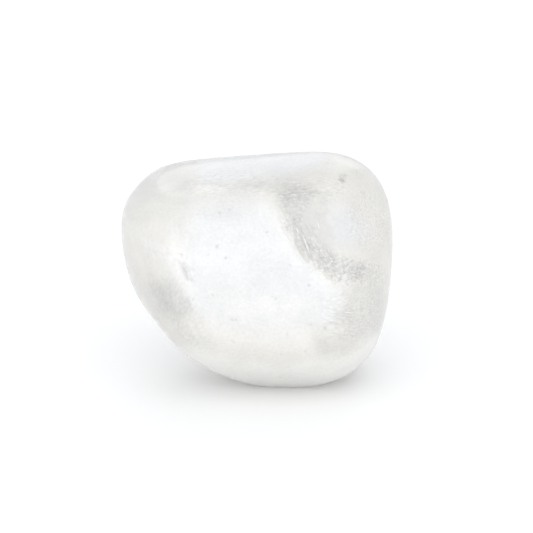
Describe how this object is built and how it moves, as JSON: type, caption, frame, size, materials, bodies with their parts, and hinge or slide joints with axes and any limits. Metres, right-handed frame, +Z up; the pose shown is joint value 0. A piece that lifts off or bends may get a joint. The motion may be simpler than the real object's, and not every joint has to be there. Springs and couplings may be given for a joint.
{
  "type": "tumbled stone",
  "caption": "Clear quartz pebble, tumbled smooth, with softly rounded faces and a small flat spot to rest on.",
  "frame": {"origin": "on the surface that the stone rests on, under the middle of its bounding box", "axes": "+Z up, +X along the longest side, -Y the way the broad clear face looks"},
  "size_m": [0.028, 0.0202, 0.0243],
  "materials": {
    "quartz": "gloss"
  },
  "bodies": {
    "root": {"stone": "quartz"}
  },
  "joints": []
}
